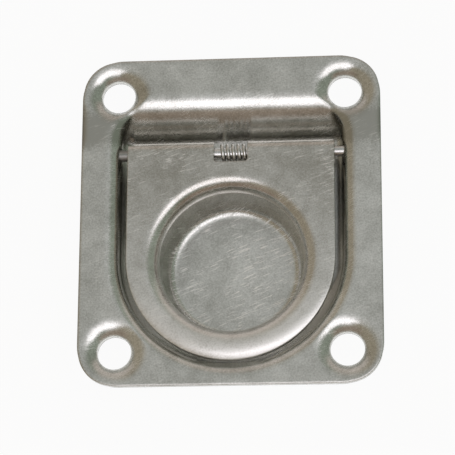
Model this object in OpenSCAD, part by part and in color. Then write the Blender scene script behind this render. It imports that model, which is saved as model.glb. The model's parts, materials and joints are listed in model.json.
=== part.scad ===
// Flush floor latch: a pressed pan with a sprung pull flap that lies level with the floor or hatch.
// X runs along the hinge, +Y points to the hinge end and Z is up.
// The origin is below the plate's middle, on the plane of the finger cup's underside.

/* [Plate] */
// Width of the plate, along the hinge
plate_w = 80; // [78:0.5:90]
// Length of the plate, from finger end to hinge end
plate_l = 90; // [88:0.5:104]
// Corner radius of the plate
plate_corner = 11; // [6:0.5:12]
// Thickness of the pan's sheet
sheet = 1.5; // [1:0.1:1.6]

/* [Mounting holes] */
// Diameter of a mounting hole
hole_d = 9; // [5:0.1:9.4]
// Distance from a hole's centre to the two nearest edges of the plate
hole_inset = 9.5; // [9.3:0.1:10.5]
// Diameter at which the dimple round a hole starts to dip
dimple_d = 18.4; // [17.4:0.1:18.6]
// Bend radius at the rim of a dimple
dimple_bend = 6; // [4:0.25:6.5]
// Slope of a dimple's cone, from level
dimple_slope = 40; // [25:1:42]

/* [Recess] */
// Flat flange beside the recess, from the plate's edge to the bend
side_flange = 6.6; // [6:0.1:8]
// Flat flange at the hinge end
hinge_flange = 9.3; // [8.5:0.1:10.5]
// Flat flange at the finger end
tip_flange = 2; // [1.5:0.1:4]
// Bend radius at the mouth of the recess
mouth_bend = 4; // [3:0.25:4.5]
// Inside radius of the recess's two corners at the hinge end
recess_corner = 10; // [6:0.5:12]
// Depth of the recess, from the plate's top
recess_depth = 8.5; // [7.5:0.1:10]
// Inside radius where the walls meet the recess's floor
floor_fillet = 1.5; // [1:0.1:2.5]
// Slope of the ramps at both ends of the recess, from level
ramp_slope = 45; // [40:1:55]
// Bend radius at the top of the hinge-end ramp
ramp_bend = 8; // [6:0.25:9]
// How far the round finger-end ramp is centred behind the round end itself
ramp_shift = 6.6; // [5:0.1:9]

/* [Finger cup] */
// Diameter at which the cup dips from the recess's floor
cup_mouth_d = 45; // [43:0.5:46]
// Bend radius at the mouth of the cup
cup_bend = 2.5; // [2:0.1:3]
// Slope of the cup's wall, from level
cup_slope = 65; // [55:1:75]
// Depth of the cup's floor, from the plate's top
cup_depth = 16; // [14:0.1:20]
// Inside radius between the cup's wall and floor
cup_fillet = 3; // [2:0.1:4]

/* [Flap] */
// Thickness of the flap's sheet
flap_sheet = 1.5; // [1:0.1:1.6]
// Gap between the flap and the recess's wall, on each side
flap_gap = 1.8; // [1:0.05:3]
// Gap under the flap's tip, where it comes to rest on the ramp
stop_gap = 0.3; // [0.2:0.05:0.6]
// Diameter of the finger hole
finger_d = 38.4; // [36:0.1:39]
// Bend radius of the lip round the finger hole
lip_bend = 4; // [3:0.1:4.2]
// Depth of the lip, from the flap's top
lip_depth = 4.8; // [4.4:0.1:6]
// Width of the ring at the flap's tip, from the finger hole to the edge
ring_w = 8.15; // [7.5:0.05:9]
// Flat left on the ring at the tip, between the lip's bend and the turned-down edge
ring_flat = 0.2; // [0.1:0.05:0.6]
// Bend radius of the turned-down edge
crown_bend = 7.5; // [6.5:0.1:9]
// How much larger than the tip's own radius the arc is on which the edge starts to turn down
crown_spread = 0.3; // [0.1:0.05:0.6]

/* [Hinge] */
// Diameter of the hinge pin
pin_d = 3; // [2.4:0.1:3.2]
// Running clearance of the flap on the pin, on the radius
pin_clear = 0.2; // [0.1:0.05:0.3]
// Clearance of the pin in the pan's walls, on the radius
pin_fit = 0.03; // [0.02:0.01:0.1]
// Distance from the bend at the hinge end to the pin
hinge_setback = 16.7; // [15:0.1:19]
// How far the pin stands out past the pan's walls
pin_proud = 1; // [0.5:0.1:1.4]
// Chamfer on the pin's ends
pin_chamfer = 0.4; // [0.2:0.05:0.6]
// Angle at which the flap's curl ends, from the hinge end round under the pin
curl_end = 160; // [150:1:165]

/* [Spring] */
// Diameter of the spring's wire
wire_d = 1; // [0.7:0.05:1.1]
// Number of turns in the coil
coil_turns = 4.45; // [4.45:1:6.45]
// Distance between turns
coil_pitch = 1.45; // [1.15:0.01:1.6]
// Clearance of the coil on the pin, on the radius
coil_clear = 0.15; // [0.1:0.05:0.25]
// Bend radius between the coil and its tang
tang_bend = 0.65; // [0.5:0.05:0.8]
// Straight length of the tang that sits in the flap's curl
tang_l = 5; // [3:0.5:8]
// Gap between the coil's tang end and the side of the notch
tang_gap = 0.15; // [0.1:0.05:0.3]
// Gap under the spring's leg, on the recess's floor
leg_gap = 0.1; // [0.05:0.05:0.3]
// Bare pin left in the notch beside the coil
bare_pin = 1.35; // [0.5:0.05:3]
// Gap between the coil and the bottom of the notch
notch_gap = 0.6; // [0.2:0.05:0.8]
// Corner radius of the notch
notch_corner = 0.8; // [0.4:0.1:1]

/* [Hidden] */
$fn = 96;

// Height that a cutting shape reaches past the face it cuts
over = 1;
// How far a sloping face lies inside the bends that it runs into, so that they cross and don't just touch
ease = 0.03;
// How far past a bend's last direction its slice is drawn
past = 20;
top = cup_depth + sheet;

// The recess in plan: straight sides, a round finger end and two round corners at the hinge end
recess_half = plate_w / 2 - side_flange - mouth_bend;
mouth_half = recess_half + mouth_bend;
tip_bend_y = tip_flange - plate_l / 2;
tip_centre_y = tip_bend_y + mouth_half;
hinge_bend_y = plate_l / 2 - hinge_flange;
corner_mouth = recess_corner + mouth_bend;
corner_x = mouth_half - corner_mouth;
// The recess's own wall at the hinge end lies past the start of the ramp's wide bend, which hides it
corner_y = hinge_bend_y + over - corner_mouth;
recess_floor = top - recess_depth;

// The round ramp at the finger end touches the bend at the tip and runs below the floor at the sides
tip_ramp_y = tip_centre_y + ramp_shift;
tip_ramp_r = tip_ramp_y - tip_bend_y;

// The hinge: the curl's outside is level with the flap's top
pin_r = pin_d / 2;
bore_r = pin_r + pin_clear;
knuckle_r = bore_r + flap_sheet;
flap_top = top;
hinge_y = hinge_bend_y - hinge_setback;
hinge_z = flap_top - knuckle_r;
pin_half = recess_half + sheet + pin_proud;

// The flap in plan: its turned-down tip hangs stop_gap above the ramp, and the finger hole is set from the tip
flap_half = recess_half - flap_gap;
finger_r = finger_d / 2;
lip_start = finger_r + lip_bend;
crown_w = ring_w - lip_bend - ring_flat;
crown_drop = crown_bend - sqrt(pow(crown_bend - flap_sheet, 2) - pow(crown_w, 2));
face_reach = mouth_bend - ease;
face_run = face_reach * sin(ramp_slope);
face_drop = mouth_bend - face_reach * cos(ramp_slope);
flap_tip_y = tip_bend_y + face_run + (crown_drop + stop_gap - face_drop) / tan(ramp_slope);
flap_arc_y = flap_tip_y + flap_half;
finger_y = flap_tip_y + ring_w + finger_r;
// The turned-down edge is centred behind the flap's arc, so that it fades out at the straight sides
crown_start = flap_half + crown_spread;
crown_y = flap_tip_y + crown_start + crown_w;
// Direction, up from level, at which the turned-down edge's slice ends, below where the outline cuts it off
crown_end = 20;

// The spring: the coil's tang end sits beside the notch's side at +X
wire_r = wire_d / 2;
coil_r = pin_r + coil_clear + wire_r;
coil_l = coil_turns * coil_pitch;
notch_w = bare_pin + coil_l + wire_d + tang_gap;
coil_end_x = notch_w / 2 - tang_gap - wire_r;
coil_start_x = coil_end_x - coil_l;
notch_y = hinge_y - coil_r - wire_r - notch_gap;

// A slice of a disc between two directions less than 180 degrees apart
module pie(r, from, to) {
    middle = (from + to) / 2;
    intersection() {
        circle(r);
        polygon([
            [0, 0],
            4 * r * [cos(from), sin(from)],
            4 * r * [cos(middle), sin(middle)],
            4 * r * [cos(to), sin(to)]
        ]);
    }
}

// A bent strip of sheet: a slice of a ring between two directions
module bent_strip(outer, thickness, from, to) {
    difference() {
        pie(outer, from, to);
        circle(outer - thickness);
    }
}

// A rectangle about the origin with round corners
module round_rect(w, l, r) {
    square([w - 2 * r, l], center = true);
    square([w, l - 2 * r], center = true);
    for (x = [-1, 1], y = [-1, 1])
        translate([x * (w / 2 - r), y * (l / 2 - r)])
            pie(r, atan2(y, x) - 45, atan2(y, x) + 45);
}

// Stands a section that is drawn across X, with its height along Y, and extrudes it along +X
module along_x(length) {
    rotate([90, 0, 90])
        linear_extrude(length)
            children();
}

// Half section of the recess, from inside it out to where the bend starts.
// skin is the depth below the top face: 0 gives the hollow, sheet gives the pan's outside.
module recess_section(mouth, skin, rise) {
    wall = mouth - mouth_bend + skin;
    fillet = floor_fillet + skin;
    floor_z = recess_floor - skin;
    bend_z = top - mouth_bend;
    translate([0, floor_z])
        square([wall - fillet, fillet]);
    translate([wall - fillet, floor_z + fillet])
        pie(fillet, -90, 0);
    translate([0, floor_z + fillet])
        square([wall, bend_z - floor_z - fillet]);
    difference() {
        translate([0, bend_z])
            square([mouth, mouth_bend + rise]);
        translate([mouth, bend_z])
            circle(mouth_bend - skin);
    }
}

// Section of what lies under the finger-end ramp, out to where the bend starts
module ramp_section(bend, skin) {
    reach = face_reach - skin;
    face_u = bend - reach * sin(ramp_slope);
    face_z = top - mouth_bend + reach * cos(ramp_slope);
    foot_z = recess_floor - sheet - over;
    foot_u = face_u - (face_z - foot_z) / tan(ramp_slope);
    polygon([[face_u, face_z], [foot_u, foot_z], [bend, foot_z], [bend, face_z]]);
}

// Section of what lies under the hinge-end ramp, with its wide bend and all that is past it
module bank_section(bend, skin) {
    centre = [bend, top - ramp_bend];
    face = centre + (ramp_bend - skin - ease) * [-sin(ramp_slope), cos(ramp_slope)];
    foot_z = recess_floor - sheet - over;
    far = bend + 2 * mouth_bend;
    polygon([
        face,
        [face[0] - (face[1] - foot_z) / tan(ramp_slope), foot_z],
        [far, foot_z],
        [far, top + 2 * over],
        [bend, top + 2 * over],
        [bend, face[1]]
    ]);
    translate(centre)
        pie(ramp_bend - skin, 90 - past, 90 + ramp_slope + past);
}

// The recess as a solid form, with a ramp at each end
module recess(skin, rise) {
    difference() {
        union() {
            translate([0, tip_centre_y])
                rotate_extrude(angle = 180, start = 180)
                    recess_section(mouth_half, skin, rise);
            translate([0, corner_y])
                rotate([90, 0, 0])
                    linear_extrude(corner_y - tip_centre_y)
                        for (side = [0, 1])
                            mirror([side, 0])
                                recess_section(mouth_half, skin, rise);
            for (side = [0, 1])
                mirror([side, 0, 0])
                    translate([corner_x, corner_y])
                        rotate_extrude(angle = 90)
                            recess_section(corner_mouth, skin, rise);
            translate([-corner_x, corner_y])
                along_x(2 * corner_x)
                    recess_section(corner_mouth, skin, rise);
        }
        translate([-plate_w / 2, 0])
            along_x(plate_w)
                bank_section(hinge_bend_y, skin);
        translate([0, tip_ramp_y])
            rotate_extrude(angle = 180, start = 180)
                ramp_section(tip_ramp_r, skin);
    }
}

// The finger cup as a solid form: a rounded mouth in the recess's floor, a sloping wall and a round floor
module cup(skin, rise) {
    mouth_r = cup_mouth_d / 2;
    rim = [mouth_r, recess_floor - cup_bend];
    wall_normal = [-sin(cup_slope), cos(cup_slope)];
    wall_top = rim + cup_bend * wall_normal;
    fillet_z = top - cup_depth + cup_fillet;
    fillet_u = wall_top[0] - (cup_fillet - (fillet_z - wall_top[1]) * cos(cup_slope)) / sin(cup_slope);
    fillet = [fillet_u, fillet_z];
    fillet_r = cup_fillet + skin;
    lid = recess_floor + rise;
    translate([0, finger_y])
        rotate_extrude() {
            translate(fillet)
                pie(fillet_r, -90, cup_slope - 90 + past);
            difference() {
                polygon([
                    [0, fillet_z - fillet_r],
                    [fillet_u, fillet_z - fillet_r],
                    fillet,
                    fillet - (fillet_r - ease) * wall_normal,
                    rim + (cup_bend - skin - ease) * wall_normal,
                    rim,
                    [mouth_r, lid],
                    [0, lid]
                ]);
                translate(rim)
                    pie(cup_bend - skin, 90, 90 + cup_slope + past);
            }
        }
}

// The dimple round a mounting hole as a solid form: a rounded rim and a shallow cone
module dimple(skin, rise) {
    rim = [dimple_d / 2, top - dimple_bend];
    bend = dimple_bend - skin;
    cone_top = rim + (bend - ease) * [-sin(dimple_slope), cos(dimple_slope)];
    apex_z = cone_top[1] - cone_top[0] * tan(dimple_slope);
    rotate_extrude()
        difference() {
            polygon([
                [0, apex_z],
                cone_top,
                rim,
                [rim[0], top + rise],
                [0, top + rise]
            ]);
            translate(rim)
                pie(bend, 90, 90 + dimple_slope + past);
        }
}

// Places its children at the four mounting holes, mirrored about the plate's middle
module at_holes() {
    for (x = [0, 1], y = [0, 1])
        mirror([x, 0, 0])
            mirror([0, y, 0])
                translate([plate_w / 2 - hole_inset, plate_l / 2 - hole_inset])
                    children();
}

// The pan: one pressing with the flange, the recess, the finger cup and the dimpled holes
module base_pan() {
    color([0.62, 0.62, 0.58])
        difference() {
            difference() {
                union() {
                    translate([0, 0, top - sheet])
                        linear_extrude(sheet)
                            round_rect(plate_w, plate_l, plate_corner);
                    recess(sheet, 0);
                    cup(sheet, 0);
                    at_holes()
                        dimple(sheet, 0);
                }
                union() {
                    recess(0, over);
                    cup(0, over);
                    at_holes()
                        dimple(0, over);
                }
            }
            at_holes()
                translate([0, 0, top - dimple_d / 2])
                    cylinder(d = hole_d, h = dimple_d);
            translate([-mouth_half, hinge_y, hinge_z])
                rotate([0, 90, 0])
                    cylinder(r = pin_r + pin_fit, h = 2 * mouth_half);
        }
}

// Outline of the flap from its round tip to where the curl's strip has begun
module flap_outline() {
    translate([0, flap_arc_y])
        pie(flap_half, 180, 270);
    translate([0, flap_arc_y])
        pie(flap_half, 270, 360);
    translate([-flap_half, flap_arc_y])
        square([2 * flap_half, hinge_y - bore_r - flap_arc_y]);
}

// The flap's flat sheet, which turns down along the round tip
module flap_plate() {
    intersection() {
        union() {
            translate([0, crown_y])
                rotate_extrude(angle = 180, start = 180) {
                    translate([0, flap_top - flap_sheet])
                        square([crown_start, flap_sheet]);
                    translate([crown_start, flap_top - crown_bend])
                        bent_strip(crown_bend, flap_sheet, crown_end, 90);
                }
            translate([-crown_start, crown_y, flap_top - flap_sheet])
                cube([2 * crown_start, hinge_y - crown_y, flap_sheet]);
        }
        translate([0, 0, flap_top - crown_bend])
            linear_extrude(crown_bend + over)
                flap_outline();
    }
}

// The lip that is drawn down round the finger hole, with a strip of the flat sheet that it runs out of
module finger_lip() {
    translate([0, finger_y])
        rotate_extrude() {
            translate([lip_start, flap_top - flap_sheet])
                square([ring_flat, flap_sheet]);
            translate([lip_start, flap_top - lip_bend])
                bent_strip(lip_bend, flap_sheet, 90, 180);
            translate([finger_r, flap_top - lip_depth])
                square([flap_sheet, lip_depth - lip_bend]);
        }
}

// The curl round the pin, open on the flap's underside, with a strip of the flat sheet that it runs out of
module knuckle() {
    translate([-flap_half, hinge_y, hinge_z])
        along_x(2 * flap_half) {
            translate([-knuckle_r, bore_r])
                square([knuckle_r, flap_sheet]);
            bent_strip(knuckle_r, flap_sheet, 0, 90);
            bent_strip(knuckle_r, flap_sheet, -90, 0);
            bent_strip(knuckle_r, flap_sheet, -curl_end, -90);
        }
}

// The notch that clears the spring, open at the hinge end
module spring_notch() {
    translate([0, 0, hinge_z - knuckle_r - over])
        linear_extrude(2 * knuckle_r + 2 * over) {
            translate([-notch_w / 2, notch_y + notch_corner])
                square([notch_w, hinge_y + knuckle_r + over - notch_y - notch_corner]);
            translate([notch_corner - notch_w / 2, notch_y])
                square([notch_w - 2 * notch_corner, notch_corner]);
            translate([notch_corner - notch_w / 2, notch_y + notch_corner])
                pie(notch_corner, 180, 270);
            translate([notch_w / 2 - notch_corner, notch_y + notch_corner])
                pie(notch_corner, 270, 360);
        }
}

// The flap: one pressing with the finger hole, the turned-down tip and the hinge curl
module pull_flap() {
    color([0.56, 0.55, 0.51])
        difference() {
            union() {
                difference() {
                    flap_plate();
                    translate([0, finger_y, flap_top - 2 * flap_sheet])
                        cylinder(r = lip_start + ring_flat / 2, h = 4 * flap_sheet);
                }
                finger_lip();
                knuckle();
            }
            spring_notch();
        }
}

// The plain pin, staked in the pan's two side walls
module hinge_pin() {
    color([0.75, 0.74, 0.73])
        translate([0, hinge_y, hinge_z])
            rotate([0, 90, 0])
                rotate_extrude()
                    polygon([
                        [0, -pin_half],
                        [pin_r - pin_chamfer, -pin_half],
                        [pin_r, pin_chamfer - pin_half],
                        [pin_r, pin_half - pin_chamfer],
                        [pin_r - pin_chamfer, pin_half],
                        [0, pin_half]
                    ]);
}

// The spring's centre line, as stations of place, direction and the outward normal.
// A leg stands on the recess's floor, the coil winds round the pin, and a tang runs into the flap's curl.
wire_sides = 10;
turn_steps = 18;
tang_step = 22.5;
last_turn = 360 * coil_turns;
function outward(a) = [0, cos(a), sin(a)];
function onward(a) = [0, -sin(a), cos(a)];
function coil_point(a) = [coil_start_x + coil_pitch * a / 360, hinge_y, hinge_z] + coil_r * outward(a);
function tang_corner(a) =
    coil_point(last_turn) + tang_bend * (sin(a) * onward(last_turn) + [1 - cos(a), 0, 0]);
leg_foot = [coil_start_x, hinge_y + coil_r, recess_floor + leg_gap];
stations = concat(
    [[leg_foot, [0, 0, 1], outward(0)]],
    [for (i = [0 : floor(coil_turns * turn_steps)])
        let (a = 360 * i / turn_steps)
        [coil_point(a), onward(a), outward(a)]],
    [for (a = [0 : tang_step : 90])
        [tang_corner(a), cos(a) * onward(last_turn) + [sin(a), 0, 0], outward(last_turn)]],
    [[tang_corner(90) + [tang_l, 0, 0], [1, 0, 0], outward(last_turn)]]
);

// The torsion spring: round wire swept along the stations
module torsion_spring() {
    count = len(stations);
    points = [
        for (s = stations, k = [0 : wire_sides - 1])
            let (a = 360 * k / wire_sides)
            s[0] + wire_r * (cos(a) * s[2] + sin(a) * cross(s[1], s[2]))
    ];
    walls = [
        for (i = [0 : count - 2], k = [0 : wire_sides - 1])
            let (next = (k + 1) % wire_sides, here = i * wire_sides, there = here + wire_sides)
            each [[here + k, there + k, there + next], [here + k, there + next, here + next]]
    ];
    first_cap = [for (k = [0 : wire_sides - 1]) k];
    last_cap = [for (k = [wire_sides - 1 : -1 : 0]) (count - 1) * wire_sides + k];
    color([0.70, 0.69, 0.68])
        polyhedron(points = points, faces = concat([first_cap], walls, [last_cap]));
}

base_pan();
pull_flap();
hinge_pin();
torsion_spring();
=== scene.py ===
import json
import math

import bpy
import bmesh
from mathutils import Matrix, Vector


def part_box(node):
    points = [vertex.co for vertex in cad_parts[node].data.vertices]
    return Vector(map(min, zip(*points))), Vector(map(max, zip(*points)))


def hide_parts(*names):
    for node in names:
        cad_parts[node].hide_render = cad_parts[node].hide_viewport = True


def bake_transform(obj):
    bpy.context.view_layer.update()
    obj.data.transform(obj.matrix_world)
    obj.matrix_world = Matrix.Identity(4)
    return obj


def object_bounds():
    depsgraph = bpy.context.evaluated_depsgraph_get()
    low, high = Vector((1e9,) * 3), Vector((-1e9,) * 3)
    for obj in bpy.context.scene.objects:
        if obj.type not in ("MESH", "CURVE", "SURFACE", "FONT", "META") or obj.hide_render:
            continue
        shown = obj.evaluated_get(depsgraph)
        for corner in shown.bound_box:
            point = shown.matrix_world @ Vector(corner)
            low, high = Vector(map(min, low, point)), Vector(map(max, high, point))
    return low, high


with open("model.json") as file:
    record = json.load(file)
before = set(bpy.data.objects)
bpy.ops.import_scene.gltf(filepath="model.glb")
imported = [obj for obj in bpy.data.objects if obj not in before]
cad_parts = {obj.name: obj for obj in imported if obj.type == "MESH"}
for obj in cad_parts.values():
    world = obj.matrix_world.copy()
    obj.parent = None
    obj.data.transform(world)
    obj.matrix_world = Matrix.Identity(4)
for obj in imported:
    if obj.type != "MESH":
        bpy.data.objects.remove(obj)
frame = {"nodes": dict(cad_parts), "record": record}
cad_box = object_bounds()


# The base pan is one pressing in stainless sheet: flange, dimpled holes, recess and finger cup.
# The flat faces keep the mill's fine grain, and the drawn bends and walls are burnished by the tool.
# Handling has left soft clouds on the flange and short bright scratches on the cup's floor.
def place(nodes, kind, x, y, **values):
    """Adds a shader node at a place in the editor and sets its own properties."""
    node = nodes.new(kind)
    node.location = (x, y)
    for key, value in values.items():
        setattr(node, key, value)
    return node


def start_group(name, inputs, outputs):
    """Starts a shader node group whose sockets are all plain values."""
    group = bpy.data.node_groups.new(name, "ShaderNodeTree")
    for label, value in inputs:
        socket = group.interface.new_socket(label, in_out="INPUT", socket_type="NodeSocketFloat")
        socket.default_value = value
    for label in outputs:
        group.interface.new_socket(label, in_out="OUTPUT", socket_type="NodeSocketFloat")
    enter = place(group.nodes, "NodeGroupInput", -1100, 0)
    leave = place(group.nodes, "NodeGroupOutput", 900, 0)
    return group, enter, leave


# Mill grain: flat faces are duller than drawn ones, under soft clouds of two sizes and fine pits.
mill_grain, grain_in, grain_out = start_group(
    "mill_grain",
    [("Pit Size", 0.00035), ("Flat", 0.30), ("Drawn", 0.20), ("Cloud", 0.08)],
    ["Roughness", "Height", "Tone"],
)
coords = place(mill_grain.nodes, "ShaderNodeTexCoord", -900, 200)
facing = place(mill_grain.nodes, "ShaderNodeSeparateXYZ", -700, 420)
upright = place(mill_grain.nodes, "ShaderNodeMath", -500, 420, operation="ABSOLUTE")
level = place(mill_grain.nodes, "ShaderNodeMapRange", -300, 420, interpolation_type="SMOOTHSTEP")
level.inputs["From Min"].default_value = 0.93
level.inputs["From Max"].default_value = 0.998
finish = place(mill_grain.nodes, "ShaderNodeMapRange", -100, 420)
pit_scale = place(mill_grain.nodes, "ShaderNodeMath", -700, 40, operation="DIVIDE")
pit_scale.inputs[0].default_value = 1.0
pits = place(mill_grain.nodes, "ShaderNodeTexNoise", -500, 160)
pits.inputs["Detail"].default_value = 2.0
small_clouds = place(mill_grain.nodes, "ShaderNodeTexNoise", -500, -120)
small_clouds.inputs["Scale"].default_value = 260.0
small_clouds.inputs["Detail"].default_value = 3.0
wide_clouds = place(mill_grain.nodes, "ShaderNodeTexNoise", -500, -380)
wide_clouds.inputs["Scale"].default_value = 50.0
wide_clouds.inputs["Detail"].default_value = 2.0
pit_spread = place(mill_grain.nodes, "ShaderNodeMapRange", -300, 160)
pit_spread.inputs["From Min"].default_value = 0.3
pit_spread.inputs["From Max"].default_value = 0.7
cloud_sum = place(mill_grain.nodes, "ShaderNodeMath", -300, -240, operation="ADD")
cloud_shift = place(mill_grain.nodes, "ShaderNodeMath", -100, -240, operation="SUBTRACT")
cloud_shift.inputs[1].default_value = 1.0
rough_sum = place(mill_grain.nodes, "ShaderNodeMath", 200, 300, operation="MULTIPLY_ADD")
cloud_tone = place(mill_grain.nodes, "ShaderNodeMath", 100, -240, operation="MULTIPLY_ADD")
cloud_tone.inputs[1].default_value = 0.8
cloud_tone.inputs[2].default_value = 0.26
tone_sum = place(mill_grain.nodes, "ShaderNodeMath", 300, -120, operation="MULTIPLY_ADD", use_clamp=True)
tone_sum.inputs[1].default_value = 0.5
grain_link = mill_grain.links.new
grain_link(coords.outputs["Normal"], facing.inputs[0])
grain_link(facing.outputs["Z"], upright.inputs[0])
grain_link(upright.outputs[0], level.inputs["Value"])
grain_link(level.outputs[0], finish.inputs["Value"])
grain_link(grain_in.outputs["Drawn"], finish.inputs["To Min"])
grain_link(grain_in.outputs["Flat"], finish.inputs["To Max"])
grain_link(grain_in.outputs["Pit Size"], pit_scale.inputs[1])
grain_link(coords.outputs["Object"], pits.inputs["Vector"])
grain_link(coords.outputs["Object"], small_clouds.inputs["Vector"])
grain_link(coords.outputs["Object"], wide_clouds.inputs["Vector"])
grain_link(pit_scale.outputs[0], pits.inputs["Scale"])
grain_link(pits.outputs["Fac"], pit_spread.inputs["Value"])
grain_link(small_clouds.outputs["Fac"], cloud_sum.inputs[0])
grain_link(wide_clouds.outputs["Fac"], cloud_sum.inputs[1])
grain_link(cloud_sum.outputs[0], cloud_shift.inputs[0])
grain_link(cloud_shift.outputs[0], rough_sum.inputs[0])
grain_link(grain_in.outputs["Cloud"], rough_sum.inputs[1])
grain_link(finish.outputs[0], rough_sum.inputs[2])
grain_link(cloud_shift.outputs[0], cloud_tone.inputs[0])
grain_link(pit_spread.outputs[0], tone_sum.inputs[0])
grain_link(cloud_tone.outputs[0], tone_sum.inputs[2])
grain_link(rough_sum.outputs[0], grain_out.inputs["Roughness"])
grain_link(pit_spread.outputs[0], grain_out.inputs["Height"])
grain_link(tone_sum.outputs[0], grain_out.inputs["Tone"])

# Rub marks: short straight scratches at one angle, thick in some places and missing in others, as a mask.
rub_marks, rub_in, rub_out = start_group("rub_marks", [("Angle", 0.4), ("Amount", 0.5)], ["Mask"])
coords = place(rub_marks.nodes, "ShaderNodeTexCoord", -900, 200)
turned = place(rub_marks.nodes, "ShaderNodeVectorRotate", -680, 200, rotation_type="Z_AXIS")
stretched = place(rub_marks.nodes, "ShaderNodeMapping", -480, 200)
stretched.inputs["Scale"].default_value = (330.0, 4200.0, 330.0)
strokes = place(rub_marks.nodes, "ShaderNodeTexNoise", -260, 200)
strokes.inputs["Scale"].default_value = 1.0
strokes.inputs["Detail"].default_value = 1.0
patches = place(rub_marks.nodes, "ShaderNodeTexNoise", -260, -120)
patches.inputs["Scale"].default_value = 130.0
sharp = place(rub_marks.nodes, "ShaderNodeMapRange", 0, 200)
sharp.inputs["From Min"].default_value = 0.61
sharp.inputs["From Max"].default_value = 0.67
patchy = place(rub_marks.nodes, "ShaderNodeMapRange", 0, -120)
patchy.inputs["From Min"].default_value = 0.40
patchy.inputs["From Max"].default_value = 0.60
both = place(rub_marks.nodes, "ShaderNodeMath", 260, 80, operation="MULTIPLY")
scaled = place(rub_marks.nodes, "ShaderNodeMath", 500, 80, operation="MULTIPLY", use_clamp=True)
rub_link = rub_marks.links.new
rub_link(coords.outputs["Object"], turned.inputs["Vector"])
rub_link(rub_in.outputs["Angle"], turned.inputs["Angle"])
rub_link(turned.outputs[0], stretched.inputs["Vector"])
rub_link(stretched.outputs[0], strokes.inputs["Vector"])
rub_link(coords.outputs["Object"], patches.inputs["Vector"])
rub_link(strokes.outputs["Fac"], sharp.inputs["Value"])
rub_link(patches.outputs["Fac"], patchy.inputs["Value"])
rub_link(sharp.outputs[0], both.inputs[0])
rub_link(patchy.outputs[0], both.inputs[1])
rub_link(both.outputs[0], scaled.inputs[0])
rub_link(rub_in.outputs["Amount"], scaled.inputs[1])
rub_link(scaled.outputs[0], rub_out.inputs["Mask"])


def vary(nodes, link, socket, first, *steps):
    """Sets a socket to a first value. Each step changes it by an amount between two places on an axis."""
    socket.default_value = first
    if not steps:
        return
    coords = place(nodes, "ShaderNodeTexCoord", -1500, -300)
    parts = place(nodes, "ShaderNodeSeparateXYZ", -1300, -300)
    link(coords.outputs["Object"], parts.inputs[0])
    total = None
    for axis, start, end, change in steps:
        step = place(nodes, "ShaderNodeMapRange", -1100, -300, interpolation_type="SMOOTHSTEP")
        step.inputs["From Min"].default_value = start
        step.inputs["From Max"].default_value = end
        step.inputs["To Max"].default_value = change
        link(parts.outputs[axis], step.inputs["Value"])
        added = place(nodes, "ShaderNodeMath", -900, -300, operation="ADD")
        added.inputs[0].default_value = first
        if total is not None:
            link(total, added.inputs[0])
        link(step.outputs[0], added.inputs[1])
        total = added.outputs[0]
    link(total, socket)


def steel(name, dark, light, grain, flat, drawn, rub_angle, rub, tone, edge, bump):
    """Stainless steel: tone and roughness follow the mill grain, with bright rub marks and eased edges.

    flat, drawn, rub, tone and edge are each a first value and its steps from place to place: the roughness
    of flat and of drawn faces, the amount of rub marks, the steel's lightness and the edges' radius.
    Drawn faces are at least as rough as burnished.
    """
    burnished = 0.15
    scratch_colour = (0.97, 0.96, 0.93, 1)
    scratch_roughness = 0.75
    pit_depth = 0.00001
    material = bpy.data.materials.new(name)
    material.use_nodes = True
    nodes, link = material.node_tree.nodes, material.node_tree.links.new
    shader = nodes["Principled BSDF"]
    shader.inputs["Metallic"].default_value = 1.0
    grained = place(nodes, "ShaderNodeGroup", -700, 100, node_tree=mill_grain)
    for label, value in grain.items():
        grained.inputs[label].default_value = value
    vary(nodes, link, grained.inputs["Flat"], *flat)
    smoothed = place(nodes, "ShaderNodeMath", -800, 200, operation="MAXIMUM")
    smoothed.inputs[1].default_value = burnished
    vary(nodes, link, smoothed.inputs[0], *drawn)
    link(smoothed.outputs[0], grained.inputs["Drawn"])
    rubbed = place(nodes, "ShaderNodeGroup", -700, -200, node_tree=rub_marks)
    rubbed.inputs["Angle"].default_value = rub_angle
    vary(nodes, link, rubbed.inputs["Amount"], *rub)
    lighter = place(nodes, "ShaderNodeMath", -500, 320, operation="ADD", use_clamp=True)
    vary(nodes, link, lighter.inputs[0], *tone)
    link(grained.outputs["Tone"], lighter.inputs[1])
    shade = place(nodes, "ShaderNodeMix", -320, 320, data_type="RGBA")
    shade.inputs["A"].default_value = (*dark, 1)
    shade.inputs["B"].default_value = (*light, 1)
    link(lighter.outputs[0], shade.inputs["Factor"])
    worn = place(nodes, "ShaderNodeMix", -140, 320, data_type="RGBA")
    worn.inputs["B"].default_value = scratch_colour
    link(rubbed.outputs["Mask"], worn.inputs["Factor"])
    link(shade.outputs["Result"], worn.inputs["A"])
    link(worn.outputs["Result"], shader.inputs["Base Color"])
    torn = place(nodes, "ShaderNodeMix", -320, 60, data_type="FLOAT")
    torn.inputs["B"].default_value = scratch_roughness
    link(rubbed.outputs["Mask"], torn.inputs["Factor"])
    link(grained.outputs["Roughness"], torn.inputs["A"])
    link(torn.outputs["Result"], shader.inputs["Roughness"])
    eased = place(nodes, "ShaderNodeBevel", -320, -380, samples=8)
    vary(nodes, link, eased.inputs["Radius"], *edge)
    height = place(nodes, "ShaderNodeMath", -500, -160, operation="SUBTRACT")
    link(grained.outputs["Height"], height.inputs[0])
    link(rubbed.outputs["Mask"], height.inputs[1])
    relief = place(nodes, "ShaderNodeBump", -140, -160)
    relief.inputs["Strength"].default_value = bump
    relief.inputs["Distance"].default_value = pit_depth
    link(height.outputs[0], relief.inputs["Height"])
    link(eased.outputs["Normal"], relief.inputs["Normal"])
    link(relief.outputs["Normal"], shader.inputs["Normal"])
    return material


def wear(node, material):
    """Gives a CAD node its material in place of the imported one."""
    slots = frame["nodes"][node].data.materials
    slots.clear()
    slots.append(material)


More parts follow.
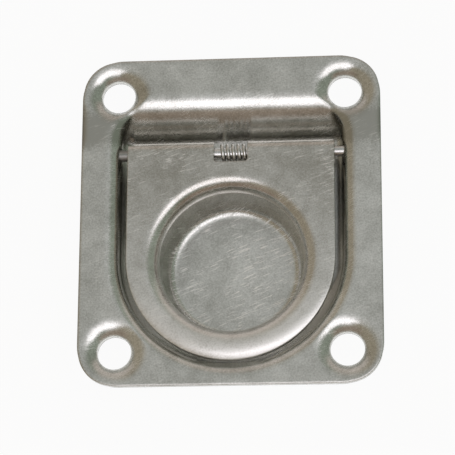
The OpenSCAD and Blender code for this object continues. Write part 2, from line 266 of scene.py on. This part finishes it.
# The finish changes at these heights up the pan, and at these places along its hinge ramp, and so does the
# light and shade painted into its tone.
cup_floor_z = 0.0015
cup_wall_z = 0.0035
recess_floor_z = 0.009
deep_wall_z = 0.0115
bend_z = 0.0145
curl_y = 0.019
ramp_foot_y = 0.024
ramp_mid_y = 0.0275
ramp_top_y = 0.031
ramp_end_y = 0.034
ramp_painted_shade = 0.60
ramp_ease = 0.0015
pan_steel = steel(
    "pan_steel",
    dark=(0.44, 0.435, 0.40),
    light=(0.84, 0.84, 0.81),
    grain={"Pit Size": 0.00045, "Cloud": 0.06},
    flat=(0.31,),
    drawn=(0.24, ("Z", cup_wall_z, recess_floor_z, 0.12), ("Z", deep_wall_z, bend_z, -0.16),
           ("Y", curl_y, ramp_foot_y, -0.20)),
    rub_angle=-0.38,
    rub=(3.0, ("Z", cup_floor_z, cup_wall_z, -2.7)),
    # Painted light and shade: the tone is darker over the cup's walls, lighter over the recess's floor and
    # deep walls beside the flap, and darker under the flap's curl and over the hinge ramp's lower part.
    tone=(-0.02, ("Z", cup_floor_z, cup_wall_z, -0.23), ("Z", cup_wall_z, deep_wall_z, 0.65),
          ("Z", deep_wall_z, bend_z, -0.48), ("Y", curl_y, ramp_foot_y, -ramp_painted_shade),
          ("Y", ramp_mid_y, ramp_top_y, ramp_painted_shade)),
    edge=(0.0010, ("Y", curl_y, ramp_foot_y, ramp_ease), ("Y", ramp_top_y, ramp_end_y, -ramp_ease)),
    bump=0.6,
)
wear("base_pan", pan_steel)


# The pull flap is a second pressing: finger hole with a drawn lip, a turned-down tip and a hinge curl.
# It is the same sheet, duller and browner at the hinge and lighter towards the finger ring.
flap_low, flap_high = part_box("pull_flap")
ring_y = (flap_low.y + flap_high.y) / 2
flap_steel = steel(
    "flap_steel",
    dark=(0.41, 0.39, 0.345),
    light=(0.78, 0.77, 0.74),
    grain={"Pit Size": 0.00045, "Cloud": 0.06},
    flat=(0.48, ("Y", flap_low.y, ring_y, -0.20)),
    drawn=(0.40, ("Y", flap_low.y, ring_y, -0.10), ("Z", recess_floor_z, bend_z, -0.08),
           ("Y", ring_y, flap_high.y, -0.06)),
    rub_angle=-0.30,
    rub=(0.5, ("Y", ring_y, flap_high.y, 0.2)),
    tone=(0.45, ("Y", flap_low.y, ring_y, -0.35), ("Y", ring_y, flap_high.y, -0.30)),
    edge=(0.0004,),
    bump=0.6,
)
wear("pull_flap", flap_steel)


# The hinge pin is bright drawn rod, pushed through the flap's curl and held in the pan's side walls.
# Drawing leaves it smoother than the sheet. Its left end is rougher and painted darker, as painted shade
# where it lies in the dark gap beside the flap.
pin_low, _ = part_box("hinge_pin")
pin_steel = steel(
    "pin_steel",
    dark=(0.36, 0.35, 0.33),
    light=(0.76, 0.75, 0.73),
    grain={"Pit Size": 0.0002, "Cloud": 0.06},
    flat=(0.18,),
    drawn=(0.55, ("X", pin_low.x, pin_low.x / 2, -0.36)),
    rub_angle=math.pi / 2,
    rub=(0.4,),
    # Painted shade: the tone is darker at the pin's left end, in the dark gap beside the flap.
    tone=(-0.6, ("X", pin_low.x, pin_low.x / 2, 0.8)),
    edge=(0.0002,),
    bump=0.15,
)
wear("hinge_pin", pin_steel)


# The torsion spring is round spring wire wound on the pin. Its leg stands on the recess's floor and its
# tang lies in the flap's curl, so opening the flap winds the coil. It is drawn here as true round wire.
wire_r = 0.0005
coil_r = 0.00215
coil_turns = 4.45
coil_pitch = 0.00145
tang_bend = 0.00065
tang_l = 0.005
_, hinge_y, hinge_z = frame["record"]["behaviour"]["joints"][0]["pos_m"]
spring_low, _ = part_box("torsion_spring")
coil_start_x = spring_low.x + wire_r


def coil_place(turn):
    """The wire's middle, its direction and the way out from the pin, after so many turns."""
    angle = 2 * math.pi * turn
    out = Vector((0, math.cos(angle), math.sin(angle)))
    on = Vector((0, -math.sin(angle), math.cos(angle)))
    centre = Vector((coil_start_x + coil_pitch * turn, hinge_y, hinge_z))
    return centre + coil_r * out, on, out


stations = []
leg_steps, turn_steps, bend_steps, tang_steps = 10, 48, 8, 6
leg_foot = Vector((coil_start_x, hinge_y + coil_r, spring_low.z))
leg_top = Vector((coil_start_x, hinge_y + coil_r, hinge_z))
for step in range(leg_steps):
    stations.append((leg_foot.lerp(leg_top, step / leg_steps), Vector((0, 0, 1)), Vector((0, 1, 0))))
for step in range(int(coil_turns * turn_steps)):
    stations.append(coil_place(step / turn_steps))
end, end_on, end_out = coil_place(coil_turns)
for step in range(bend_steps + 1):
    bend = math.pi / 2 * step / bend_steps
    middle = end + tang_bend * (math.sin(bend) * end_on + Vector((1 - math.cos(bend), 0, 0)))
    stations.append((middle, math.cos(bend) * end_on + Vector((math.sin(bend), 0, 0)), end_out))
tang_root = stations[-1][0]
for step in range(1, tang_steps + 1):
    stations.append((tang_root + Vector((tang_l * step / tang_steps, 0, 0)), Vector((1, 0, 0)), end_out))

wire_sides = 20
wire = bmesh.new()
rings = []
for centre, on, out in stations:
    across = on.cross(out)
    ring = []
    for k in range(wire_sides):
        angle = 2 * math.pi * k / wire_sides
        ring.append(wire.verts.new(centre + wire_r * (math.cos(angle) * out + math.sin(angle) * across)))
    rings.append(ring)
for here, there in zip(rings, rings[1:]):
    for k in range(wire_sides):
        following = (k + 1) % wire_sides
        wire.faces.new((here[k], here[following], there[following], there[k]))
wire.faces.new(rings[0][::-1])
wire.faces.new(rings[-1])
for face in wire.faces:
    face.smooth = len(face.verts) == 4
bmesh.ops.recalc_face_normals(wire, faces=wire.faces[:])
spring_mesh = bpy.data.meshes.new("spring_wire")
wire.to_mesh(spring_mesh)
wire.free()
spring_wire = bpy.data.objects.new("spring_wire", spring_mesh)
bpy.context.scene.collection.objects.link(spring_wire)
spring_steel = steel(
    "spring_steel",
    dark=(0.54, 0.53, 0.51),
    light=(0.72, 0.71, 0.69),
    grain={"Pit Size": 0.0002, "Cloud": 0.06},
    flat=(0.18,),
    drawn=(0.20,),
    rub_angle=0.0,
    rub=(0.25,),
    tone=(0.05,),
    edge=(0.0001,),
    bump=0.1,
)
spring_mesh.materials.append(spring_steel)
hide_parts("torsion_spring")
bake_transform(spring_wire)


# The floor is a wide pale studio floor, white to the camera, under the cup that the latch stands on.
# A share of it still takes light and shadow, so the object stays grounded.
floor_half = 30.0
white_share = 0.93
floor_z = cad_box[0].z
floor_mesh = bpy.data.meshes.new("studio_floor")
floor_mesh.from_pydata(
    [(-floor_half, -floor_half, floor_z), (floor_half, -floor_half, floor_z),
     (floor_half, floor_half, floor_z), (-floor_half, floor_half, floor_z)],
    [], [(0, 1, 2, 3)],
)
studio_floor = bpy.data.objects.new("studio_floor", floor_mesh)
bpy.context.scene.collection.objects.link(studio_floor)
floor_paint = bpy.data.materials.new("floor_paint")
floor_paint.use_nodes = True
nodes, link = floor_paint.node_tree.nodes, floor_paint.node_tree.links.new
nodes.clear()
output = place(nodes, "ShaderNodeOutputMaterial", 600, 0)
lit = place(nodes, "ShaderNodeBsdfDiffuse", 0, 120)
lit.inputs["Color"].default_value = (0.92, 0.92, 0.92, 1)
white = place(nodes, "ShaderNodeEmission", 0, -60)
white.inputs["Strength"].default_value = 1.0
rays = place(nodes, "ShaderNodeLightPath", -600, 0)
seen = place(nodes, "ShaderNodeMath", -400, 0, operation="MAXIMUM")
seen_through = place(nodes, "ShaderNodeMath", -200, 0, operation="MAXIMUM")
share = place(nodes, "ShaderNodeMath", 0, -220, operation="MULTIPLY")
share.inputs[1].default_value = white_share
mixed = place(nodes, "ShaderNodeMixShader", 300, 0)
link(rays.outputs["Is Camera Ray"], seen.inputs[0])
link(rays.outputs["Is Glossy Ray"], seen.inputs[1])
link(seen.outputs[0], seen_through.inputs[0])
link(rays.outputs["Is Transmission Ray"], seen_through.inputs[1])
link(seen_through.outputs[0], share.inputs[0])
link(share.outputs[0], mixed.inputs["Fac"])
link(lit.outputs[0], mixed.inputs[1])
link(white.outputs[0], mixed.inputs[2])
link(mixed.outputs[0], output.inputs["Surface"])
floor_mesh.materials.append(floor_paint)


# The light is one wide soft panel, high in front of the finger end and to the right, in a plain grey room.
# The room is browner low down, darkest in front and pale behind, with a little green on the right.
room = bpy.data.worlds.new("grey_room")
bpy.context.scene.world = room
room.use_nodes = True
nodes, link = room.node_tree.nodes, room.node_tree.links.new
background = nodes["Background"]
around = place(nodes, "ShaderNodeTexCoord", -1300, 0)
parts = place(nodes, "ShaderNodeSeparateXYZ", -1100, 0)
link(around.outputs["Generated"], parts.inputs[0])
overhead = place(nodes, "ShaderNodeValToRGB", -800, 320)
overhead.color_ramp.elements[0].position = 0.35
overhead.color_ramp.elements[0].color = (0.42, 0.37, 0.31, 1)
overhead.color_ramp.elements[1].position = 0.80
overhead.color_ramp.elements[1].color = (0.470, 0.482, 0.470, 1)
link(parts.outputs["Z"], overhead.inputs["Fac"])


def room_tint(under, axis, start, end, fade_start, fade_end, colour):
    """Tints the low part of the room on one side, fading out with height."""
    side = place(nodes, "ShaderNodeMapRange", -800, -100, interpolation_type="SMOOTHSTEP")
    side.inputs["From Min"].default_value = start
    side.inputs["From Max"].default_value = end
    link(parts.outputs[axis], side.inputs["Value"])
    fade = place(nodes, "ShaderNodeMapRange", -800, -300, interpolation_type="SMOOTHSTEP")
    fade.inputs["From Min"].default_value = fade_start
    fade.inputs["From Max"].default_value = fade_end
    fade.inputs["To Min"].default_value = 1.0
    fade.inputs["To Max"].default_value = 0.0
    link(parts.outputs["Z"], fade.inputs["Value"])
    amount = place(nodes, "ShaderNodeMath", -600, -200, operation="MULTIPLY")
    link(side.outputs[0], amount.inputs[0])
    link(fade.outputs[0], amount.inputs[1])
    tint = place(nodes, "ShaderNodeMix", -400, 60, data_type="RGBA")
    tint.inputs["B"].default_value = (*colour, 1)
    link(amount.outputs[0], tint.inputs["Factor"])
    link(under, tint.inputs["A"])
    return tint.outputs["Result"]


def soft_panel(under, rise, swing, wide, high, edge, colour):
    """Lights a rectangle of the room, with soft edges.

    rise and swing are the angles, in degrees, of its middle above level and to the right of the finger
    end. wide, high and edge are half sizes, seen from the latch at a distance of 1.
    """
    rise, swing = math.radians(rise), math.radians(swing)
    way = Vector((math.cos(rise) * math.sin(swing), -math.cos(rise) * math.cos(swing), math.sin(rise)))
    across = Vector((math.cos(swing), math.sin(swing), 0))
    upward = way.cross(across)
    lengths = {}
    for name, axis in (("way", way), ("across", across), ("upward", upward)):
        along = place(nodes, "ShaderNodeVectorMath", -1000, -500, operation="DOT_PRODUCT")
        along.inputs[1].default_value = axis
        link(around.outputs["Generated"], along.inputs[0])
        lengths[name] = along.outputs["Value"]
    ahead = place(nodes, "ShaderNodeMath", -800, -500, operation="MAXIMUM")
    ahead.inputs[1].default_value = 0.001
    link(lengths["way"], ahead.inputs[0])
    mask = None
    for name, half in (("across", wide), ("upward", high)):
        slope = place(nodes, "ShaderNodeMath", -600, -600, operation="DIVIDE")
        link(lengths[name], slope.inputs[0])
        link(ahead.outputs[0], slope.inputs[1])
        size = place(nodes, "ShaderNodeMath", -400, -600, operation="ABSOLUTE")
        link(slope.outputs[0], size.inputs[0])
        within = place(nodes, "ShaderNodeMapRange", -200, -600, interpolation_type="SMOOTHSTEP")
        within.inputs["From Min"].default_value = half - edge
        within.inputs["From Max"].default_value = half + edge
        within.inputs["To Min"].default_value = 1.0
        within.inputs["To Max"].default_value = 0.0
        link(size.outputs[0], within.inputs["Value"])
        if mask is None:
            mask = within.outputs[0]
        else:
            both = place(nodes, "ShaderNodeMath", 0, -600, operation="MULTIPLY")
            link(mask, both.inputs[0])
            link(within.outputs[0], both.inputs[1])
            mask = both.outputs[0]
    lit = place(nodes, "ShaderNodeMix", 0, 60, data_type="RGBA")
    lit.inputs["B"].default_value = (*colour, 1)
    link(mask, lit.inputs["Factor"])
    link(under, lit.inputs["A"])
    return lit.outputs["Result"]


green_right = room_tint(
    overhead.outputs["Color"], axis="X", start=0.05, end=0.40, fade_start=0.65, fade_end=1.00,
    colour=(0.30, 0.335, 0.285),
)
brown_left = room_tint(
    green_right, axis="X", start=-0.10, end=-0.40, fade_start=0.75, fade_end=1.00,
    colour=(0.36, 0.32, 0.25),
)
pale_back = room_tint(
    brown_left, axis="Y", start=0.45, end=0.80, fade_start=0.35, fade_end=0.85,
    colour=(0.58, 0.53, 0.49),
)
brown_front = room_tint(
    pale_back, axis="Y", start=-0.35, end=-0.75, fade_start=0.45, fade_end=0.70,
    colour=(0.33, 0.27, 0.22),
)
main_panel = soft_panel(
    brown_front, rise=66.5, swing=31, wide=0.54, high=0.28, edge=0.13,
    colour=(1.80, 1.75, 1.83),
)
link(main_panel, background.inputs["Color"])


# The camera stands above the finger end and a little to the right, as the photograph was taken.
# It is far off with a long lens, so the plate's sides stay almost parallel.
plate_top = Vector((0, 0, cad_box[1].z))
tilt, swing, roll = math.radians(18), math.radians(16.5), math.radians(0.25)
reach = 0.6
back = Vector((math.sin(swing) * math.sin(tilt), -math.cos(swing) * math.sin(tilt), math.cos(tilt)))
up = (Vector((0, 1, 0)) - back * back.y).normalized()
right = up.cross(back)
rolled_right = math.cos(roll) * right + math.sin(roll) * up
rolled_up = math.cos(roll) * up - math.sin(roll) * right
camera_data = bpy.data.cameras.new("camera")
camera_data.sensor_width = 36
camera_data.lens = 180
camera_data.shift_x, camera_data.shift_y = -0.0059, -0.0211
camera = bpy.data.objects.new("camera", camera_data)
bpy.context.scene.collection.objects.link(camera)
turned_to = Matrix((rolled_right, rolled_up, back)).transposed().to_4x4()
camera.matrix_world = Matrix.Translation(plate_top + reach * back) @ turned_to
bpy.context.scene.camera = camera
bpy.context.scene.view_settings.view_transform = "Standard"
